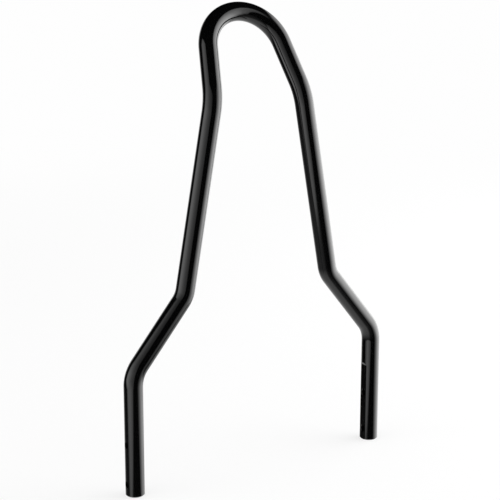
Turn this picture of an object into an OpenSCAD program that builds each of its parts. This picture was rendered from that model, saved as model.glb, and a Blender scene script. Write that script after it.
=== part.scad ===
/* [Bar] */
// Diameter of the round bar
bar_d = 19.05; // [16:0.05:22]

/* [Legs] */
// Distance between the axes of the two legs
leg_spacing = 290; // [280:1:310]
// Height above the feet at which a leg turns inward, at the corner of its axis
leg_rise = 124; // [116:1:132]

/* [Waist] */
// Distance between the bar axes where the offset ends and the uprights begin
waist_spacing = 173; // [162:1:190]
// Height of the waist above the feet, at the corner of the axis
waist_rise = 195; // [188:1:210]

/* [Kick] */
// Distance between the bar axes where the uprights kick back
kick_spacing = 105; // [96:1:116]
// Height of the kick above the feet, at the corner of the axis
kick_rise = 386; // [360:1:410]
// Backward recline of the bar above the kick, in degrees
recline = 27; // [12:1:36]

/* [Crown] */
// Length of axis from the corner of the kick to the start of the crown
upper_length = 54; // [40:1:90]

/* [Bend radii on the axis] */
// Bend at the top of a leg
leg_bend_r = 33; // [22:0.5:40]
// Bend at the waist
waist_bend_r = 27; // [20:0.5:40]
// Bend of the backward kick
kick_bend_r = 54; // [30:1:70]

/* [Bolted ends] */
// Length of the flat milled on the inner side of each leg
flat_length = 87.5; // [70:0.5:92]
// Depth of the flat below the round of the bar
flat_depth = 1.2; // [0.8:0.05:2.6]
// Height of the ramp by which the flat runs out into the round
flat_ramp = 2.4; // [1:0.1:4]
// Diameter of the bolt holes
hole_d = 6.8; // [5:0.1:8.5]
// Distance between the two bolt holes of a leg
hole_pitch = 41.3; // [36:0.1:48]
// Height of the lower bolt hole above the foot
hole_rise = 12; // [9:0.5:16]
// Depth of the countersink at both mouths of a hole
hole_chamfer = 0.6; // [0.3:0.1:1]
// Chamfer round the cut end of a leg
end_chamfer = 1; // [0.5:0.1:1.5]

/* [Hidden] */
$fn = 64;

// How far a cutter passes the surface that it cuts
clear = 1;
// A bend comes off the former this much thinner on the radius than the straight bar,
// and each of its ends reaches this far into the straight beside it
bend_thinning = 0.02;
bend_lap = 0.5;

bar_r = bar_d / 2;
hole_r = hole_d / 2;
flat_face = bar_r - flat_depth;
leg_x = leg_spacing / 2;
waist_x = waist_spacing / 2;
kick_x = kick_spacing / 2;

// The uprights lean inward at one angle below and above the kick
lean = atan((waist_x - kick_x) / (kick_rise - waist_rise));
upper_heading = [-sin(lean), sin(recline) * cos(lean), cos(recline) * cos(lean)];
// The crown is one arc between the two uprights, whose axes would cross on the middle plane
crossing_length = kick_x / sin(lean);
crown_bend_r = (crossing_length - upper_length) * tan(lean);

// Corners of the bar's axis from the right foot to the crown, and the corner after it
corners = [
    [leg_x, 0, 0],
    [leg_x, 0, leg_rise],
    [waist_x, 0, waist_rise],
    [kick_x, 0, kick_rise],
    [kick_x, 0, kick_rise] + crossing_length * upper_heading,
    [-kick_x, 0, kick_rise]
];
// Bend radius at each corner, with none at the foot
bend_r = [0, leg_bend_r, waist_bend_r, kick_bend_r, crown_bend_r];
crown = len(bend_r) - 1;

// Direction of the stretch that leaves corner i
function heading(i) = (corners[i + 1] - corners[i]) / norm(corners[i + 1] - corners[i]);

// Angle through which the bar turns at corner i
function bend_angle(i) = i == 0 ? 0 : acos(heading(i - 1) * heading(i));

// Length of axis that a bend takes from each of the two stretches beside it
function setback(i) = bend_r[i] * tan(bend_angle(i) / 2);

// Length of straight bar between the bends at corners i and i + 1
function straight(i) = norm(corners[i + 1] - corners[i]) - setback(i) - setback(i + 1);

// Direction from the start of bend i to its centre
function inward(i) = (heading(i) - cos(bend_angle(i)) * heading(i - 1)) / sin(bend_angle(i));

// Frame at the start of bend i: X to the bend's centre, Z along the bar
function bend_frame(i) =
    let (x = inward(i), z = heading(i - 1), y = cross(z, x), start = corners[i] - setback(i) * z)
    [
        [x[0], y[0], z[0], start[0]],
        [x[1], y[1], z[1], start[1]],
        [x[2], y[2], z[2], start[2]],
        [0, 0, 0, 1]
    ];

// Arc of bar from the origin, heading along Z and turning towards X
module elbow(r, angle) {
    lap_angle = bend_lap / r * 180 / PI;
    translate([r, 0, 0])
        rotate([90, 0, 180])
            rotate([0, 0, -lap_angle])
                rotate_extrude(angle = angle + 2 * lap_angle)
                    translate([r, 0])
                        circle(r = bar_r - bend_thinning);
}

module bend(i) {
    multmatrix(bend_frame(i))
        elbow(bend_r[i], bend_angle(i));
}

// The straight bar that runs up to bend i
module stretch_before(i) {
    multmatrix(bend_frame(i))
        translate([0, 0, -straight(i - 1)])
            cylinder(r = bar_r, h = straight(i - 1));
}

module bent_bar() {
    for (side = [0, 1])
        mirror([side, 0, 0])
            for (i = [1 : crown]) {
                stretch_before(i);
                if (i < crown)
                    bend(i);
            }
    bend(crown);
}

// Cutter for the flat, on the side of the leg that faces X
module flat_cut() {
    reach = bar_r + clear;
    rise = flat_length + clear * flat_ramp / flat_depth;
    rotate([90, 0, 0])
        linear_extrude(height = 2 * reach, center = true)
            polygon([
                [flat_face, -clear],
                [flat_face, flat_length - flat_ramp],
                [reach, rise],
                [reach, -clear]
            ]);
}

// Cone that breaks a hole's edge where it leaves the face at this distance from the leg's axis
module countersink(face) {
    cone_r = hole_r + hole_chamfer + clear;
    translate([face + clear, 0, 0])
        rotate([0, -90, 0])
            cylinder(r1 = cone_r, r2 = 0, h = cone_r);
}

// Cutter for one bolt hole through the leg, from the flat to the outer side
module bolt_hole_cut() {
    rotate([0, 90, 0])
        cylinder(r = hole_r, h = bar_d + 2 * clear, center = true);
    countersink(flat_face);
    rotate([0, 0, 180])
        countersink(bar_r);
}

// Cutter that chamfers the foot
module foot_chamfer_cut() {
    rotate_extrude()
        polygon([
            [bar_r - end_chamfer - clear, -clear],
            [bar_r + clear, end_chamfer + clear],
            [bar_r + clear, -clear]
        ]);
}

// Everything that is cut from one leg, whose inner side faces X here
module leg_end_cuts() {
    flat_cut();
    foot_chamfer_cut();
    for (step = [0, 1])
        translate([0, 0, hole_rise + step * hole_pitch])
            bolt_hole_cut();
}

// The bar is drawn up from its feet, then set with its lower bolt axis on X and its middle at the origin
module bar() {
    color([0.03, 0.03, 0.035])
        translate([0, 0, -hole_rise])
            difference() {
                bent_bar();
                for (side = [0, 1])
                    mirror([side, 0, 0])
                        translate([leg_x, 0, 0])
                            rotate([0, 0, 180])
                                leg_end_cuts();
            }
}

bar();
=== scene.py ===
"""Looks of a motorcycle's sissy bar: one bent round bar in gloss black enamel, on a pale studio floor."""

import logging
import math
from dataclasses import dataclass, field
from enum import Enum
from typing import ClassVar

import bmesh
import bpy
from bmesh.types import BMesh, BMEdge, BMFace, BMVert
from mathutils import Matrix, Vector


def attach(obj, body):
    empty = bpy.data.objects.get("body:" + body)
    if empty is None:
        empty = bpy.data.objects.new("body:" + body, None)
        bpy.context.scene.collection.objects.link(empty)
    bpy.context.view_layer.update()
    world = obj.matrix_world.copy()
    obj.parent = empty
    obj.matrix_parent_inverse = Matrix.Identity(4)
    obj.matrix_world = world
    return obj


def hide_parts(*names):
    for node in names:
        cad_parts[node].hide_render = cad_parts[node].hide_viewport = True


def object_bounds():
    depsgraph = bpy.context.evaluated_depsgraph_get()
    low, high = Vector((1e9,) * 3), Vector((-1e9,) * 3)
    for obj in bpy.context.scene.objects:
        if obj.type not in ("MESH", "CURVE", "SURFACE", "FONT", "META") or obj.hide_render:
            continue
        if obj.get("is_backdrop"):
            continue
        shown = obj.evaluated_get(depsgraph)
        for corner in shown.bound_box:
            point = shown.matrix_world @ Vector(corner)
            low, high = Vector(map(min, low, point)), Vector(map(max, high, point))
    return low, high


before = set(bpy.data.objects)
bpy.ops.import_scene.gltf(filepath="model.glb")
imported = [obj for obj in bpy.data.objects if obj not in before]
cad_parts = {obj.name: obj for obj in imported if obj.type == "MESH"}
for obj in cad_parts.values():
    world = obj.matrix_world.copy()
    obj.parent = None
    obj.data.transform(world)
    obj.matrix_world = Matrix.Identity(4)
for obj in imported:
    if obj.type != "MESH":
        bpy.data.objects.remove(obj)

log = logging.getLogger("sissy_bar")

Socket = bpy.types.NodeSocket
Colour = tuple[float, float, float, float]

MM = 0.001
BODY = "root"
BAR_NODE = "bar"
BAR_NAME = "bent_bar"
# Points closer together than this are one point
WELD_DISTANCE = 0.005 * MM
# The photograph is a square of this many pixels a side
FRAME_PIXELS = 500
SENSOR_WIDTH_MM = 36.0


def grey(level: float) -> Colour:
    """A grey of this level, from 0 for black to 1 for white."""
    return (level, level, level, 1.0)


def mesh_object(name: str, bm: BMesh) -> bpy.types.Object:
    """Turns a bmesh into an object in the scene and frees the bmesh.

    Args:
        name: Name of the object and its mesh.
        bm: The finished bmesh.

    Returns:
        The new object, at the origin.
    """
    mesh = bpy.data.meshes.new(name)
    bm.to_mesh(mesh)
    bm.free()
    obj = bpy.data.objects.new(name, mesh)
    bpy.context.scene.collection.objects.link(obj)
    return obj


def add_left_side(bm: BMesh) -> None:
    """Mirrors the right side to the left, welds the two and turns all faces outwards.

    Args:
        bm: The mesh, which holds the right side alone.
    """
    bmesh.ops.mirror(bm, geom=[*bm.verts, *bm.edges, *bm.faces], merge_dist=WELD_DISTANCE, axis="X")
    bmesh.ops.remove_doubles(bm, verts=bm.verts, dist=WELD_DISTANCE)
    bmesh.ops.recalc_face_normals(bm, faces=bm.faces)


@dataclass(frozen=True)
class Fade:
    """A smooth change of a value, from where it is nothing to where it is full."""

    none: float
    full: float


@dataclass(frozen=True)
class Wiring:
    """Adds nodes to one node tree and joins them."""

    tree: bpy.types.NodeTree

    def node(self, kind: str) -> bpy.types.Node:
        """Adds a node of this kind."""
        return self.tree.nodes.new(kind)

    def join(self, source: Socket, target: Socket) -> None:
        """Links an output to an input."""
        self.tree.links.new(source, target)

    def maths(self, operation: str, *terms: Socket | float, clamp: bool = False) -> Socket:
        """Adds a Math node.

        Args:
            operation: The node's operation.
            terms: Its inputs in order, each a socket or a number.
            clamp: Whether the result is kept between 0 and 1.

        Returns:
            The node's value.
        """
        node = self.node("ShaderNodeMath")
        node.operation = operation
        node.use_clamp = clamp
        for socket, term in zip(node.inputs, terms):
            if isinstance(term, Socket):
                self.join(term, socket)
            else:
                socket.default_value = term
        return node.outputs["Value"]

    def parts(self, vector: Socket) -> bpy.types.bpy_prop_collection:
        """Splits a vector.

        Args:
            vector: The vector.

        Returns:
            The outputs X, Y and Z.
        """
        split = self.node("ShaderNodeSeparateXYZ")
        self.join(vector, split.inputs["Vector"])
        return split.outputs

    def fade(self, value: Socket, over: Fade) -> Socket:
        """Adds a smooth step of a value.

        Args:
            value: The value.
            over: Where the step starts and ends.

        Returns:
            The step's value, from 0 to 1.
        """
        step = self.node("ShaderNodeMapRange")
        step.interpolation_type = "SMOOTHSTEP"
        step.inputs["From Min"].default_value = over.none
        step.inputs["From Max"].default_value = over.full
        self.join(value, step.inputs["Value"])
        return step.outputs["Result"]

    def towards(self, way: Socket, azimuth: float) -> Socket:
        """Adds how far a direction points towards a level azimuth.

        Args:
            way: The direction.
            azimuth: The azimuth, from +Y towards +X.

        Returns:
            The cosine of the angle between them.
        """
        cosine = self.node("ShaderNodeVectorMath")
        cosine.operation = "DOT_PRODUCT"
        cosine.inputs[1].default_value = (math.sin(azimuth), math.cos(azimuth), 0)
        self.join(way, cosine.inputs[0])
        return cosine.outputs["Value"]

    def shows_background(self) -> Socket:
        """Adds the mask of rays that show the background: camera, glossy and transmission rays.

        Returns:
            The mask, 1 on such rays.
        """
        path = self.node("ShaderNodeLightPath").outputs
        straight_or_mirrored = self.maths("MAXIMUM", path["Is Camera Ray"], path["Is Glossy Ray"])
        return self.maths("MAXIMUM", straight_or_mirrored, path["Is Transmission Ray"])


@dataclass(frozen=True)
class EnamelFlow:
    """The node group of poured enamel: how its tone, gloss and surface change over a coated piece."""

    INPUTS: ClassVar[dict[str, str]] = {
        "Thin Coat": "NodeSocketColor",
        "Thick Coat": "NodeSocketColor",
        "Flow Size": "NodeSocketFloat",
        "Peel Size": "NodeSocketFloat",
        "Least Roughness": "NodeSocketFloat",
        "Most Roughness": "NodeSocketFloat",
    }
    OUTPUTS: ClassVar[dict[str, str]] = {
        "Color": "NodeSocketColor",
        "Roughness": "NodeSocketFloat",
        "Peel": "NodeSocketFloat",
    }

    name: str = "enamel_flow"
    # Finer octaves of the two noises
    flow_detail: float = 2.0
    peel_detail: float = 1.0
    # Nearly all of a noise lies between these values
    noise_low: float = 0.3
    noise_high: float = 0.7

    @staticmethod
    def _noise(wiring: Wiring, place: Socket, grain: Socket, detail: float) -> Socket:
        """Adds a noise whose grain size is an input.

        Args:
            wiring: The wiring of the group.
            place: The coordinates.
            grain: Size of the grain, in metres.
            detail: Number of finer octaves.

        Returns:
            The noise, from 0 to 1.
        """
        noise = wiring.node("ShaderNodeTexNoise")
        noise.inputs["Detail"].default_value = detail
        wiring.join(place, noise.inputs["Vector"])
        wiring.join(wiring.maths("DIVIDE", 1.0, grain), noise.inputs["Scale"])
        return noise.outputs["Fac"]

    def tree(self) -> bpy.types.NodeTree:
        """The group's tree, built on the first call."""
        return bpy.data.node_groups.get(self.name) or self._new_tree()

    def _new_tree(self) -> bpy.types.NodeTree:
        """Builds the group.

        Returns:
            The group's tree.
        """
        tree = bpy.data.node_groups.new(self.name, "ShaderNodeTree")
        for direction, sockets in (("INPUT", self.INPUTS), ("OUTPUT", self.OUTPUTS)):
            for label, kind in sockets.items():
                tree.interface.new_socket(label, in_out=direction, socket_type=kind)
        wiring = Wiring(tree)
        given = wiring.node("NodeGroupInput").outputs
        result = wiring.node("NodeGroupOutput").inputs
        place = wiring.node("ShaderNodeTexCoord").outputs["Object"]
        flow = self._noise(wiring, place, given["Flow Size"], self.flow_detail)
        peel = self._noise(wiring, place, given["Peel Size"], self.peel_detail)
        tone = wiring.node("ShaderNodeMix")
        tone.data_type = "RGBA"
        wiring.join(flow, tone.inputs["Factor"])
        wiring.join(given["Thin Coat"], tone.inputs["A"])
        wiring.join(given["Thick Coat"], tone.inputs["B"])
        gloss = wiring.node("ShaderNodeMapRange")
        gloss.inputs["From Min"].default_value = self.noise_low
        gloss.inputs["From Max"].default_value = self.noise_high
        wiring.join(flow, gloss.inputs["Value"])
        wiring.join(given["Least Roughness"], gloss.inputs["To Min"])
        wiring.join(given["Most Roughness"], gloss.inputs["To Max"])
        wiring.join(tone.outputs["Result"], result["Color"])
        wiring.join(gloss.outputs["Result"], result["Roughness"])
        wiring.join(peel, result["Peel"])
        return tree


@dataclass(frozen=True)
class GlossEnamel:
    """Deep gloss black enamel, poured so evenly that only a faint orange peel is left."""

    thin_coat: Colour = (0.0018, 0.0018, 0.0019, 1.0)
    thick_coat: Colour = (0.0012, 0.0012, 0.0013, 1.0)
    flow_size: float = 60 * MM
    peel_size: float = 3.5 * MM
    peel_height: float = 0.006 * MM
    least_roughness: float = 0.05
    most_roughness: float = 0.075
    refraction: float = 1.5

    def material(self) -> bpy.types.Material:
        """Builds the enamel's material.

        Returns:
            The new material.
        """
        material = bpy.data.materials.new("gloss_black_enamel")
        material.use_nodes = True
        wiring = Wiring(material.node_tree)
        shader = material.node_tree.nodes["Principled BSDF"]
        shader.inputs["IOR"].default_value = self.refraction
        flow = wiring.node("ShaderNodeGroup")
        flow.node_tree = EnamelFlow().tree()
        flow.inputs["Thin Coat"].default_value = self.thin_coat
        flow.inputs["Thick Coat"].default_value = self.thick_coat
        flow.inputs["Flow Size"].default_value = self.flow_size
        flow.inputs["Peel Size"].default_value = self.peel_size
        flow.inputs["Least Roughness"].default_value = self.least_roughness
        flow.inputs["Most Roughness"].default_value = self.most_roughness
        peel = wiring.node("ShaderNodeBump")
        peel.inputs["Distance"].default_value = self.peel_height
        wiring.join(flow.outputs["Color"], shader.inputs["Base Color"])
        wiring.join(flow.outputs["Roughness"], shader.inputs["Roughness"])
        wiring.join(flow.outputs["Peel"], peel.inputs["Height"])
        wiring.join(peel.outputs["Normal"], shader.inputs["Normal"])
        return material


@dataclass(frozen=True)
class Bend:
    """One bend of the bar, from the corner of its axis and the headings before and after it."""

    corner: Vector
    radius: float
    before: Vector
    after: Vector

    @property
    def angle(self) -> float:
        """Angle through which the bar turns."""
        return self.before.angle(self.after)

    @property
    def setback(self) -> float:
        """Length of axis that the bend takes from each stretch beside it."""
        return self.radius * math.tan(self.angle / 2)

    @property
    def start(self) -> Vector:
        """Point of the axis at which the bend starts."""
        return self.corner - self.before * self.setback

    @property
    def end(self) -> Vector:
        """Point of the axis at which the bend ends."""
        return self.corner + self.after * self.setback

    @property
    def turning_axis(self) -> Vector:
        """Direction about which the bar turns, by the right-hand rule."""
        return self.before.cross(self.after).normalized()

    @property
    def centre(self) -> Vector:
        """Centre of the bend's arc."""
        return self.start + self.turning_axis.cross(self.before) * self.radius


@dataclass(frozen=True)
class BarAxis:
    """The driving sizes of the bar's axis, in metres, and the bends that follow from them.

    Heights count from the feet, as a maker would measure them, and foot_z puts the feet in the frame.
    """

    leg_spacing: float = 290 * MM
    leg_rise: float = 124 * MM
    waist_spacing: float = 173 * MM
    waist_rise: float = 195 * MM
    kick_spacing: float = 105 * MM
    kick_rise: float = 386 * MM
    recline: float = math.radians(27)
    upper_length: float = 54 * MM
    leg_bend_radius: float = 33 * MM
    waist_bend_radius: float = 27 * MM
    kick_bend_radius: float = 54 * MM
    foot_z: float = -12 * MM

    @property
    def leg_x(self) -> float:
        """Distance of a leg's axis from the middle plane."""
        return self.leg_spacing / 2

    @property
    def lean(self) -> float:
        """Angle by which the uprights lean inward."""
        inward = (self.waist_spacing - self.kick_spacing) / 2
        return math.atan2(inward, self.kick_rise - self.waist_rise)

    @property
    def upper_heading(self) -> Vector:
        """Direction of the right bar above the kick."""
        along = math.cos(self.lean)
        return Vector((-math.sin(self.lean), along * math.sin(self.recline), along * math.cos(self.recline)))

    def bends(self) -> list[Bend]:
        """The right half's bends, from the leg to the crown.

        Returns:
            Four bends; the last is the crown, whose second half belongs to the left side.
        """
        kick_x = self.kick_spacing / 2
        crossing_length = kick_x / math.sin(self.lean)
        crown_radius = (crossing_length - self.upper_length) * math.tan(self.lean)
        kick = Vector((kick_x, 0, self.foot_z + self.kick_rise))
        corners = [
            Vector((self.leg_x, 0, self.foot_z)),
            Vector((self.leg_x, 0, self.foot_z + self.leg_rise)),
            Vector((self.waist_spacing / 2, 0, self.foot_z + self.waist_rise)),
            kick,
            kick + self.upper_heading * crossing_length,
            Vector((-kick_x, 0, self.foot_z + self.kick_rise)),
        ]
        headings = [(after - before).normalized() for before, after in zip(corners, corners[1:])]
        radii = [self.leg_bend_radius, self.waist_bend_radius, self.kick_bend_radius, crown_radius]
        return [Bend(*sizes) for sizes in zip(corners[1:], radii, headings, headings[1:])]


class Mouth(Enum):
    """The two sides of a leg on which a bolt hole opens, with their direction along X."""

    FLAT = -1
    ROUND = 1


@dataclass(frozen=True)
class LegEnd:
    """The machined lower end of the right leg: a flat that runs out at its top, two holes and a chamfer."""

    leg_x: float
    foot_z: float
    bar_radius: float
    ring_segments: int
    flat_length: float = 87.5 * MM
    flat_depth: float = 1.2 * MM
    run_out_height: float = 2.4 * MM
    end_chamfer: float = 1.0 * MM
    hole_radius: float = 3.4 * MM
    hole_pitch: float = 41.3 * MM
    hole_rise: float = 12 * MM
    hole_chamfer: float = 0.6 * MM
    hole_segments: int = 64
    # How far a cutter passes the surface that it cuts
    cutter_reach: float = 1.0 * MM
    # Round bar above the run-out, which keeps the rounded edges clear of the ring that the bar goes on from
    collar_height: float = 2.0 * MM
    # Setback of the rounded edges, and the angle past which an edge is rounded
    edge_round: float = 0.15 * MM
    edge_segments: int = 2
    edge_angle: float = math.radians(20)

    @property
    def flat_x(self) -> float:
        """Distance of the flat from the middle plane."""
        return self.leg_x - (self.bar_radius - self.flat_depth)

    @property
    def ring_phase(self) -> float:
        """Angle of the ring's first corner, set so that the flat's edges pass clear of the corners."""
        return math.pi / self.ring_segments

    @property
    def run_out_z(self) -> float:
        """Height at which the flat ends and its run-out starts."""
        return self.foot_z + self.flat_length - self.run_out_height

    @property
    def top_z(self) -> float:
        """Height at which the machined end stops, above the collar."""
        return self.foot_z + self.flat_length + self.collar_height

    @property
    def hole_heights(self) -> list[float]:
        """Heights of the two holes' axes."""
        lower = self.foot_z + self.hole_rise
        return [lower, lower + self.hole_pitch]

    def _blank(self, bm: BMesh, low: float, high: float) -> list[BMFace]:
        """Adds a capped round prism on the leg's axis.

        Args:
            bm: The mesh that is added to.
            low: Height of its lower cap.
            high: Height of its upper cap.

        Returns:
            All of its faces.
        """
        others = set(bm.faces)
        ring = bmesh.ops.create_circle(
            bm,
            cap_ends=True,
            radius=self.bar_radius,
            segments=self.ring_segments,
            matrix=Matrix.Translation((self.leg_x, 0, low)) @ Matrix.Rotation(self.ring_phase, 4, "Z"),
        )["verts"]
        cap = ring[0].link_faces[0]
        grown = bmesh.ops.extrude_face_region(bm, geom=[cap], use_keep_orig=True)["geom"]
        rim = [part for part in grown if isinstance(part, BMVert)]
        bmesh.ops.translate(bm, verts=rim, vec=(0, 0, high - low))
        return [face for face in bm.faces if face not in others]

    def _mill(self, bm: BMesh, blank: list[BMFace], outward: Vector) -> None:
        """Cuts a prism along a plane through the flat's upper edge, and closes the cut.

        Args:
            bm: The mesh that is cut.
            blank: The prism's faces.
            outward: Normal of the plane, towards what is cut away.
        """
        verts = {vert for face in blank for vert in face.verts}
        edges = {edge for face in blank for edge in face.edges}
        cut = bmesh.ops.bisect_plane(
            bm,
            geom=[*verts, *edges, *blank],
            dist=WELD_DISTANCE,
            plane_co=(self.flat_x, 0, self.run_out_z),
            plane_no=outward,
            clear_outer=True,
        )["geom_cut"]
        bmesh.ops.holes_fill(bm, edges=[part for part in cut if isinstance(part, BMEdge)], sides=0)

    @staticmethod
    def _lies_at(face: BMFace, height: float) -> bool:
        """Whether a face lies level at this height."""
        return all(abs(vert.co.z - height) < WELD_DISTANCE for vert in face.verts)

    def _round_edges(self, bm: BMesh) -> None:
        """Rounds the edges of the flat and its run-out a little, as their coat of enamel does.

        The foot's rim stays sharp for its chamfer.

        Args:
            bm: The mesh, which holds nothing but the machined end.
        """
        bm.normal_update()
        edges = [
            edge for edge in bm.edges
            if edge.is_manifold and edge.is_convex and edge.calc_face_angle() > self.edge_angle
            and any(vert.co.z > self.foot_z + WELD_DISTANCE for vert in edge.verts)
        ]
        bmesh.ops.bevel(
            bm,
            geom=edges,
            affect="EDGES",
            offset=self.edge_round,
            segments=self.edge_segments,
            profile=0.5,
            material=-1,
            clamp_overlap=False,
        )

    def build(self, bm: BMesh) -> list[BMEdge]:
        """Adds the machined end, without its holes and the chamfer of its foot.

        Args:
            bm: The empty mesh that is added to.

        Returns:
            The edges of the round ring at its top, from which the bar goes on.
        """
        inward = Vector((-1, 0, 0))
        slope = Vector((-1, 0, -self.flat_depth / self.run_out_height)).normalized()
        self._mill(bm, self._blank(bm, self.foot_z, self.run_out_z), inward)
        self._mill(bm, self._blank(bm, self.run_out_z, self.top_z), slope)
        inner_caps = [
            face for face in bm.faces
            if self._lies_at(face, self.run_out_z) or self._lies_at(face, self.top_z)
        ]
        bmesh.ops.delete(bm, geom=inner_caps, context="FACES_ONLY")
        bmesh.ops.remove_doubles(bm, verts=bm.verts, dist=WELD_DISTANCE)
        self._round_edges(bm)
        return [edge for edge in bm.edges if edge.is_boundary]

    def _mouth_profile(self, mouth: Mouth) -> list[Vector]:
        """Half of a hole cutter's outline, from the hole's wall out past one mouth.

        Args:
            mouth: The side of the leg that the mouth is on.

        Returns:
            Three points in the XZ plane, from the leg's axis.
        """
        face = self.bar_radius if mouth is Mouth.ROUND else self.bar_radius - self.flat_depth
        mouth_x = mouth.value * (face - self.hole_chamfer)
        outer_x = mouth.value * (face + self.cutter_reach)
        outer_radius = self.hole_radius + self.hole_chamfer + self.cutter_reach
        return [
            Vector((mouth_x, 0, self.hole_radius)),
            Vector((outer_x, 0, outer_radius)),
            Vector((outer_x, 0, 0)),
        ]

    def _add_hole_cutter(self, bm: BMesh, height: float) -> None:
        """Adds the closed cutter of one bolt hole, with a countersink at each mouth.

        Args:
            bm: The mesh that is added to.
            height: Height of the hole's axis.
        """
        outline = [*reversed(self._mouth_profile(Mouth.FLAT)), *self._mouth_profile(Mouth.ROUND)]
        centre = Vector((self.leg_x, 0, height))
        verts = [bm.verts.new(centre + point) for point in outline]
        edges = [bm.edges.new(pair) for pair in zip(verts, verts[1:])]
        bmesh.ops.spin(
            bm,
            geom=[*verts, *edges],
            cent=centre,
            axis=(1, 0, 0),
            angle=2 * math.pi,
            steps=self.hole_segments,
            use_merge=True,
        )

    def _add_foot_cutter(self, bm: BMesh) -> None:
        """Adds the closed ring that chamfers the foot.

        Args:
            bm: The mesh that is added to.
        """
        reach = self.cutter_reach
        outline = [
            (self.bar_radius - self.end_chamfer - reach, -reach),
            (self.bar_radius + reach, -reach),
            (self.bar_radius + reach, self.end_chamfer + reach),
        ]
        centre = Vector((self.leg_x, 0, self.foot_z))
        turn = Matrix.Rotation(self.ring_phase, 3, "Z")
        verts = [bm.verts.new(centre + turn @ Vector((radius, 0, height))) for radius, height in outline]
        section = bm.faces.new(verts)
        bmesh.ops.spin(
            bm,
            geom=[*verts, *section.edges],
            cent=centre,
            axis=(0, 0, 1),
            angle=2 * math.pi,
            steps=self.ring_segments,
            use_merge=True,
        )
        bmesh.ops.delete(bm, geom=[section], context="FACES_ONLY")

    def add_cutters(self, bm: BMesh) -> None:
        """Adds the cutters of both holes and of the foot's chamfer.

        Args:
            bm: The mesh that is added to.
        """
        for height in self.hole_heights:
            self._add_hole_cutter(bm, height)
        self._add_foot_cutter(bm)


@dataclass
class BentBar:
    """The whole bar: one length of round bar, bent into a loop, with two machined ends."""

    finish: GlossEnamel
    axis: BarAxis = BarAxis()
    diameter: float = 19.05 * MM
    ring_segments: int = 96
    # Angle of bend between two rings
    bend_step: float = math.radians(2)
    # Angle past which an edge stays sharp in the shading
    crease_angle: float = math.radians(25)
    leg_end: LegEnd = field(init=False)

    def __post_init__(self) -> None:
        """Sets the machined end to the bar's own sizes."""
        self.leg_end = LegEnd(
            leg_x=self.axis.leg_x,
            foot_z=self.axis.foot_z,
            bar_radius=self.diameter / 2,
            ring_segments=self.ring_segments,
        )

    @staticmethod
    def _lengthen(bm: BMesh, ring: list[BMEdge], by: Vector) -> list[BMEdge]:
        """Extrudes an open ring of edges along a straight stretch.

        Args:
            bm: The mesh that is added to.
            ring: The ring's edges.
            by: The stretch's direction and length.

        Returns:
            The edges of the ring at the far end.
        """
        grown = bmesh.ops.extrude_edge_only(bm, edges=ring)["geom"]
        bmesh.ops.translate(bm, verts=[part for part in grown if isinstance(part, BMVert)], vec=by)
        return [part for part in grown if isinstance(part, BMEdge) and part.is_boundary]

    def _turn(self, bm: BMesh, ring: list[BMEdge], bend: Bend, angle: float) -> list[BMEdge]:
        """Spins an open ring of edges round a bend.

        Args:
            bm: The mesh that is added to.
            ring: The ring's edges.
            bend: The bend, whose centre and axis the ring turns about.
            angle: How far it turns.

        Returns:
            The edges of the ring at the far end.
        """
        verts = {vert for edge in ring for vert in edge.verts}
        last = bmesh.ops.spin(
            bm,
            geom=[*verts, *ring],
            cent=bend.centre,
            axis=bend.turning_axis,
            angle=angle,
            steps=math.ceil(angle / self.bend_step),
            use_merge=False,
        )["geom_last"]
        return [part for part in last if isinstance(part, BMEdge) and part.is_boundary]

    def _right_half(self) -> BMesh:
        """Builds the right half of the bar, from its foot to the middle of the crown.

        Returns:
            The half's mesh, open at the crown.
        """
        bm = bmesh.new()
        ring = self.leg_end.build(bm)
        here = Vector((self.axis.leg_x, 0, self.leg_end.top_z))
        *side_bends, crown = self.axis.bends()
        for bend in side_bends:
            ring = self._lengthen(bm, ring, bend.start - here)
            ring = self._turn(bm, ring, bend, bend.angle)
            here = bend.end
        ring = self._lengthen(bm, ring, crown.start - here)
        self._turn(bm, ring, crown, crown.angle / 2)
        return bm

    def _machined(self, blank: bpy.types.Object) -> bpy.types.Mesh:
        """Drills the bolt holes of both legs and chamfers both feet.

        Args:
            blank: The bent bar, whose own mesh stays whole.

        Returns:
            A new mesh of the machined bar.
        """
        bm = bmesh.new()
        self.leg_end.add_cutters(bm)
        add_left_side(bm)
        cutters = mesh_object("cutters", bm)
        cut = blank.modifiers.new("holes_and_chamfers", "BOOLEAN")
        cut.operation = "DIFFERENCE"
        cut.solver = "EXACT"
        cut.object = cutters
        evaluated = blank.evaluated_get(bpy.context.evaluated_depsgraph_get())
        machined = bpy.data.meshes.new_from_object(evaluated)
        bpy.data.objects.remove(cutters)
        return machined

    def build(self) -> bpy.types.Object:
        """Models the bar and puts it in the place of its CAD node.

        Returns:
            The finished piece.
        """
        bm = self._right_half()
        add_left_side(bm)
        blank = mesh_object("bar_blank", bm)
        mesh = self._machined(blank)
        bpy.data.objects.remove(blank)
        mesh.name = BAR_NAME
        mesh.shade_smooth()
        mesh.set_sharp_from_angle(angle=self.crease_angle)
        mesh.materials.append(self.finish.material())
        piece = bpy.data.objects.new(BAR_NAME, mesh)
        bpy.context.scene.collection.objects.link(piece)
        shading = piece.modifiers.new("flat_faces_stay_flat", "WEIGHTED_NORMAL")
        shading.keep_sharp = True
        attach(piece, BODY)
        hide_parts(BAR_NODE)
        return piece


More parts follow.
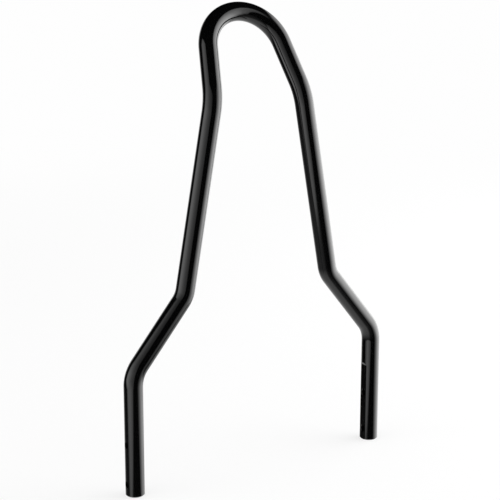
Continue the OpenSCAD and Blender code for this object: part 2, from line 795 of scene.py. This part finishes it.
@dataclass(frozen=True)
class Viewpoint:
    """The photograph's camera, fitted to the outline of the bar."""

    place: tuple[float, float, float] = (-777.4 * MM, -1186.1 * MM, 564.7 * MM)
    azimuth: float = math.radians(32.903)
    elevation: float = math.radians(13.726)
    roll: float = math.radians(-0.097)
    focal_pixels: float = 1450.4

    def build(self) -> bpy.types.Object:
        """Creates the camera and makes it the scene's.

        Returns:
            The camera.
        """
        data = bpy.data.cameras.new("viewpoint")
        data.sensor_width = SENSOR_WIDTH_MM
        data.lens = self.focal_pixels / FRAME_PIXELS * SENSOR_WIDTH_MM
        camera = bpy.data.objects.new("viewpoint", data)
        bpy.context.scene.collection.objects.link(camera)
        turn = (
            Matrix.Rotation(-self.azimuth, 4, "Z")
            @ Matrix.Rotation(math.pi / 2 - self.elevation, 4, "X")
            @ Matrix.Rotation(-self.roll, 4, "Z")
        )
        camera.matrix_world = Matrix.Translation(self.place) @ turn
        bpy.context.scene.camera = camera
        return camera


class Glow(Enum):
    """How a softbox's light changes along it: stops of place and brightness, each from 0 to 1.

    Across the left lamp the stops start at its rear edge, and across the right one at its front edge. Upward
    they start at the lower edge.
    """

    LEFT_ACROSS = (
        (0.0, 0.0), (0.03, 0.5), (0.2, 1.0), (0.34, 0.96), (0.47, 0.74),
        (0.58, 0.5), (0.71, 0.34), (0.95, 0.2), (1.0, 0.0),
    )
    LEFT_UPWARD = (
        (0.0, 0.1), (0.04, 0.6), (0.12, 0.78), (0.3, 1.0), (0.47, 1.0),
        (0.59, 0.8), (0.73, 0.7), (0.96, 0.55), (1.0, 0.1),
    )
    RIGHT_ACROSS = (
        (0.0, 0.0), (0.05, 0.2), (0.15, 0.3), (0.27, 0.57), (0.39, 0.9),
        (0.48, 1.0), (0.57, 0.84), (0.8, 0.45), (0.96, 0.35), (1.0, 0.1),
    )
    RIGHT_UPWARD = (
        (0.0, 0.3), (0.12, 0.56), (0.24, 0.93), (0.36, 1.0), (0.47, 1.0),
        (0.59, 0.93), (0.73, 0.78), (0.9, 0.6), (0.96, 0.4), (1.0, 0.05),
    )


@dataclass(frozen=True)
class Softbox:
    """An upright soft lamp beside the bar, turned towards it.

    Its azimuth counts from +Y towards +X. Its low and high are the heights of its lower and upper edge.
    """

    name: str
    azimuth: float
    width: float
    low: float
    high: float
    radiance: float
    across: Glow
    upward: Glow
    distance: float = 2.0
    # Share of the lamp's height below which its glow leans to the front, and how steeply
    waist: float = 0.3
    lean: float = 0.0

    def build(self) -> bpy.types.Object:
        """Creates the lamp.

        Returns:
            The lamp.
        """
        height = self.high - self.low
        data = bpy.data.lights.new(self.name, "AREA")
        data.shape = "RECTANGLE"
        data.size = self.width
        data.size_y = height
        data.energy = self.radiance * math.pi * self.width * height
        self._grade(data)
        lamp = bpy.data.objects.new(self.name, data)
        bpy.context.scene.collection.objects.link(lamp)
        away = Vector((math.sin(self.azimuth), math.cos(self.azimuth), 0))
        middle = away * self.distance + Vector((0, 0, (self.low + self.high) / 2))
        facing = away.to_track_quat("Z", "Y").to_matrix().to_4x4()
        lamp.matrix_world = Matrix.Translation(middle) @ facing
        lamp.visible_camera = False
        return lamp

    @staticmethod
    def _curve(wiring: Wiring, place: Socket, glow: Glow) -> Socket:
        """Adds the curve of one glow.

        Args:
            wiring: The wiring of the lamp.
            place: The place along the lamp, from 0 to 1.
            glow: The glow.

        Returns:
            The brightness there, smooth between the glow's stops.
        """
        curve = wiring.node("ShaderNodeValToRGB")
        curve.color_ramp.interpolation = "EASE"
        stops = curve.color_ramp.elements
        while len(stops) > 1:
            stops.remove(stops[-1])
        for index, (position, level) in enumerate(glow.value):
            stop = stops[0] if index == 0 else stops.new(position)
            stop.position = position
            stop.color = grey(level)
        wiring.join(place, curve.inputs["Fac"])
        return curve.outputs["Color"]

    def _grade(self, data: bpy.types.Light) -> None:
        """Grades the light across the lamp and up it.

        Args:
            data: The lamp's data.
        """
        data.use_nodes = True
        wiring = Wiring(data.node_tree)
        place = wiring.parts(wiring.node("ShaderNodeNewGeometry").outputs["Parametric"])
        below_waist = wiring.maths("SUBTRACT", self.waist, place["Y"], clamp=True)
        leaned = wiring.maths("MULTIPLY_ADD", below_waist, -self.lean, place["X"])
        emission = data.node_tree.nodes["Emission"].inputs
        wiring.join(self._curve(wiring, leaned, self.across), emission["Color"])
        wiring.join(self._curve(wiring, place["Y"], self.upward), emission["Strength"])


@dataclass(frozen=True)
class PaleFloor:
    """The pale floor at the height of the feet, which keeps the bar's shadow.

    The enamel sees the floor in the surroundings: the plane itself would hide the lower half of the lamps.
    """

    height: float
    reach: float = 12.0
    albedo: float = 0.95
    roughness: float = 0.9
    # Level and share of plain white in what shows of the floor near the bar
    white: float = 0.99
    white_share: float = 0.72
    # Distances from the origin between which the floor runs out into plain white
    run_out: Fade = Fade(none=0.5, full=2.0)

    def _material(self) -> bpy.types.Material:
        """Builds the floor's material.

        Returns:
            The new material.
        """
        material = bpy.data.materials.new("pale_floor")
        material.use_nodes = True
        wiring = Wiring(material.node_tree)
        nodes = material.node_tree.nodes
        shader = nodes["Principled BSDF"]
        shader.inputs["Base Color"].default_value = grey(self.albedo)
        shader.inputs["Roughness"].default_value = self.roughness
        shader.inputs["Specular IOR Level"].default_value = 0.0
        white = wiring.node("ShaderNodeEmission")
        white.inputs["Color"].default_value = grey(self.white)
        distance = wiring.node("ShaderNodeVectorMath")
        distance.operation = "LENGTH"
        wiring.join(wiring.node("ShaderNodeTexCoord").outputs["Object"], distance.inputs[0])
        paleness = wiring.fade(distance.outputs["Value"], self.run_out)
        share = wiring.maths("MULTIPLY_ADD", paleness, 1 - self.white_share, self.white_share)
        mix = wiring.node("ShaderNodeMixShader")
        wiring.join(wiring.maths("MULTIPLY", share, wiring.shows_background()), mix.inputs["Fac"])
        wiring.join(shader.outputs["BSDF"], mix.inputs[1])
        wiring.join(white.outputs["Emission"], mix.inputs[2])
        wiring.join(mix.outputs["Shader"], nodes["Material Output"].inputs["Surface"])
        return material

    def build(self) -> bpy.types.Object:
        """Lays the floor.

        Returns:
            The floor.
        """
        bm = bmesh.new()
        place = Matrix.Translation((0, 0, self.height))
        bmesh.ops.create_grid(bm, x_segments=1, y_segments=1, size=self.reach, matrix=place)
        floor = mesh_object("floor", bm)
        floor.visible_glossy = False
        floor.data.materials.append(self._material())
        floor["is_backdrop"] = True
        return floor


@dataclass(frozen=True)
class Surroundings:
    """All round the bar: white to the camera, and to the enamel a pale floor and backdrop in a dark studio.

    Azimuths count from +Y towards +X. A fade over height runs over the sine of the elevation, and a fade
    round an azimuth over the cosine of the angle from it.
    """

    view_azimuth: float
    # Light on matt surfaces from all sides
    ambient: float = 0.55
    # The floor brightens downwards, and reaches higher towards its bright side
    floor_depth: Fade = Fade(none=0.28, full=0.85)
    bright_side: float = math.radians(55)
    bright_lift: float = 0.45
    # It stays dim at the front, where nothing lights it
    dim_front: float = math.radians(165)
    dim_width: Fade = Fade(none=0.33, full=0.65)
    dim_share: float = 0.8
    # The backdrop stands behind the bar as the camera sees it
    backdrop_width: Fade = Fade(none=math.cos(math.radians(52)), full=math.cos(math.radians(32)))
    backdrop_top: Fade = Fade(none=0.38, full=0.14)
    backdrop_foot: Fade = Fade(none=-0.3, full=-0.05)

    def _floor(self, wiring: Wiring, way: Socket, up: Socket) -> Socket:
        """Adds the floor that the enamel reflects.

        Args:
            wiring: The wiring of the world.
            way: The direction looked in.
            up: The sine of its elevation.

        Returns:
            The floor's brightness.
        """
        bright = wiring.maths("MAXIMUM", wiring.towards(way, self.bright_side), 0.0)
        lift = wiring.maths("MULTIPLY", bright, self.bright_lift)
        lit = wiring.fade(wiring.maths("SUBTRACT", lift, up), self.floor_depth)
        front = wiring.fade(wiring.towards(way, self.dim_front), self.dim_width)
        dimming = wiring.maths("MULTIPLY_ADD", front, -self.dim_share, 1.0)
        return wiring.maths("MULTIPLY", lit, dimming)

    def _backdrop(self, wiring: Wiring, way: Socket, up: Socket) -> Socket:
        """Adds the backdrop that the enamel reflects.

        Args:
            wiring: The wiring of the world.
            way: The direction looked in.
            up: The sine of its elevation.

        Returns:
            The backdrop's brightness.
        """
        across = wiring.fade(wiring.towards(way, self.view_azimuth), self.backdrop_width)
        below_top = wiring.fade(up, self.backdrop_top)
        above_foot = wiring.fade(up, self.backdrop_foot)
        return wiring.maths("MULTIPLY", across, wiring.maths("MULTIPLY", below_top, above_foot))

    def build(self) -> bpy.types.World:
        """Creates the surroundings and makes them the scene's world.

        Returns:
            The world.
        """
        world = bpy.data.worlds.new("surroundings")
        world.use_nodes = True
        wiring = Wiring(world.node_tree)
        way = wiring.node("ShaderNodeTexCoord").outputs["Generated"]
        up = wiring.parts(way)["Z"]
        reflected = wiring.maths("MAXIMUM", self._floor(wiring, way, up), self._backdrop(wiring, way, up))
        to_surfaces = wiring.node("ShaderNodeMix")
        to_surfaces.inputs["A"].default_value = self.ambient
        wiring.join(wiring.shows_background(), to_surfaces.inputs["Factor"])
        wiring.join(reflected, to_surfaces.inputs["B"])
        is_camera = wiring.node("ShaderNodeLightPath").outputs["Is Camera Ray"]
        background = world.node_tree.nodes["Background"].inputs
        background["Color"].default_value = grey(1.0)
        strength = wiring.maths("MAXIMUM", to_surfaces.outputs["Result"], is_camera)
        wiring.join(strength, background["Strength"])
        bpy.context.scene.world = world
        return world


@dataclass(frozen=True)
class Studio:
    """The pale floor, the surroundings, two softboxes and the camera."""

    floor_z: float
    viewpoint: Viewpoint = Viewpoint()
    softboxes: tuple[Softbox, ...] = (
        Softbox(
            name="left_softbox",
            azimuth=math.radians(-102),
            width=4.5,
            low=-0.91,
            high=2.2,
            radiance=2.3,
            across=Glow.LEFT_ACROSS,
            upward=Glow.LEFT_UPWARD,
            lean=1.2,
        ),
        Softbox(
            name="right_softbox",
            azimuth=math.radians(108),
            width=5.1,
            low=-1.05,
            high=2.2,
            radiance=5.2,
            across=Glow.RIGHT_ACROSS,
            upward=Glow.RIGHT_UPWARD,
        ),
    )

    def build(self) -> None:
        """Sets the stage, the light and the camera."""
        PaleFloor(height=self.floor_z).build()
        Surroundings(view_azimuth=self.viewpoint.azimuth).build()
        for softbox in self.softboxes:
            lamp = softbox.build()
            log.info("%s: %.0f W", lamp.name, lamp.data.energy)
        self.viewpoint.build()
        bpy.context.scene.view_settings.view_transform = "Standard"


def main() -> None:
    """Builds the bar and its studio."""
    logging.basicConfig(level=logging.INFO, format="%(name)s: %(message)s")
    cad_low, cad_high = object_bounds()
    bar = BentBar(finish=GlossEnamel())
    piece = bar.build()
    log.info("%s: %d faces", piece.name, len(piece.data.polygons))
    Studio(floor_z=cad_low.z).build()


if __name__ == "__main__":
    main()
